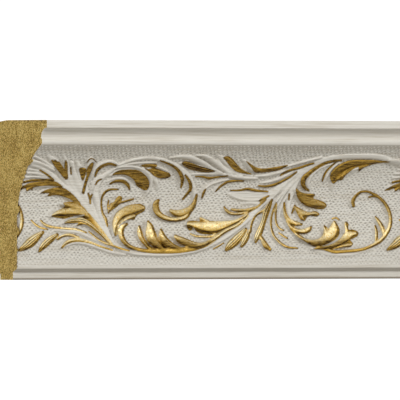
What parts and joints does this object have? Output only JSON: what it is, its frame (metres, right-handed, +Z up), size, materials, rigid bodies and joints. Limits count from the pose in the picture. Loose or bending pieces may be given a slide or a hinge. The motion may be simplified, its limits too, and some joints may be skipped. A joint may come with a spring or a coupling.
{
  "type": "decorative moulding",
  "caption": "Length of wall or frame moulding with a hollow front, a top fillet and bead, and a running scroll of leaves in relief, cut square at both ends.",
  "frame": {"origin": "middle of the flat back face, half way along the length and half way up", "axes": "+X along the moulding, -Y out of the carved front, +Y into the wall, +Z up towards the thick fillet edge"},
  "size_m": [0.292, 0.048, 0.095],
  "materials": {
    "ivory_paint": "satin ivory paint with gilded leaves on foamed polystyrene, the tan foam bare at the cut ends and back"
  },
  "bodies": {
    "root": {"moulding": "ivory_paint"}
  },
  "joints": []
}
